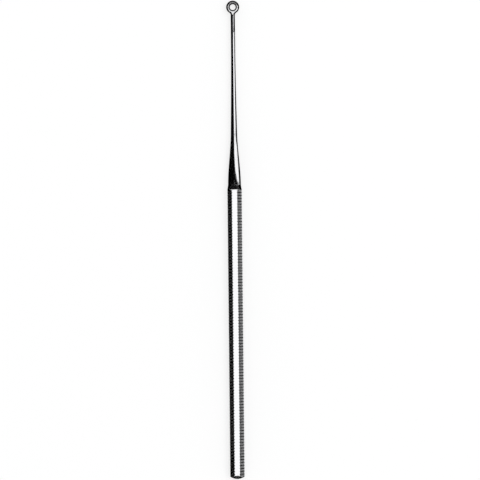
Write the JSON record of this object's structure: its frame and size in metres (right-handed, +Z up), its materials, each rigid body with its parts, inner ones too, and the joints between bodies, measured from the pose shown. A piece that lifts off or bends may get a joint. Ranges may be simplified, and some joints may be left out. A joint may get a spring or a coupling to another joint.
{
  "type": "ear curette",
  "caption": "Slender one-piece ear curette: domed octagonal handle with ribbed flats, chamfered shoulder, tapering round shank and a small dished ring that lifts wax out of the ear canal",
  "frame": {"origin": "midway along the length and across the width, on the flat surface that the handle lies on", "axes": "+Z up, +Y along the instrument from the handle's butt to the ring, +X across it; the ring lies in the plane of X and Y and its dished mouth faces +Z"},
  "size_m": [0.005, 0.165, 0.005],
  "materials": {
    "polished_steel": "mirror polished stainless steel, satin in the handle's grooves"
  },
  "bodies": {
    "root": {"ear_curette": "polished_steel"}
  },
  "joints": []
}
